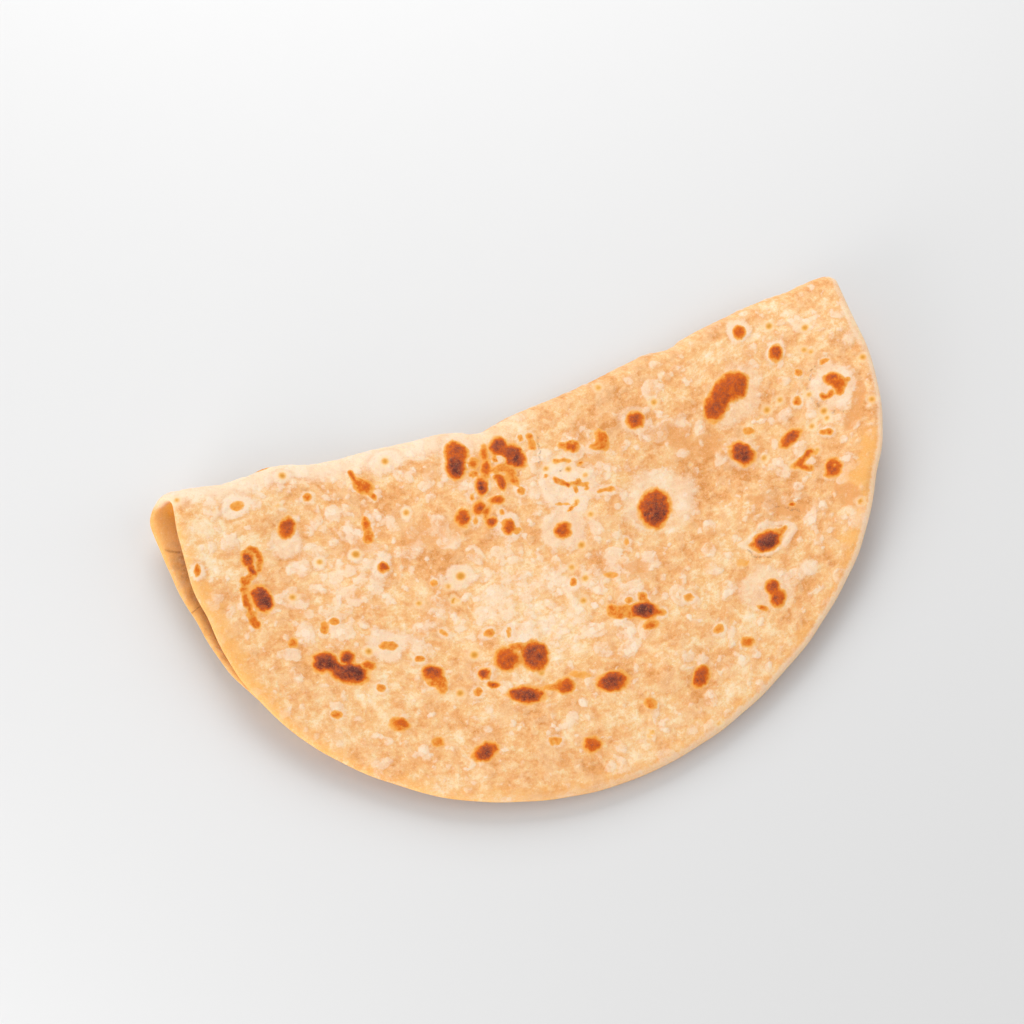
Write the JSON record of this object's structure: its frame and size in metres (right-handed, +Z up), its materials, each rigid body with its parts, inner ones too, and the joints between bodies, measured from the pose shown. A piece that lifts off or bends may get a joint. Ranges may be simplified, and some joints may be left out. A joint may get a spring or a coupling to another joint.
{
  "type": "folded chapati flatbread",
  "caption": "Thin round griddle-baked wheat flatbread folded once in half, with scorch marks and small blisters, lying flat.",
  "frame": {"origin": "middle of the bread's box at its base, the level of the table it lies on", "axes": "+Z up, away from the table; +X along the fold, from the open loose end of the bend to the tight one; +Y from the round open edge to the fold"},
  "size_m": [0.2058, 0.1296, 0.0162],
  "materials": {
    "griddled_dough": "dry griddle-baked wheat dough, cream to golden with brown scorch marks, matte"
  },
  "bodies": {
    "root": {"chapati": "griddled_dough"}
  },
  "joints": []
}
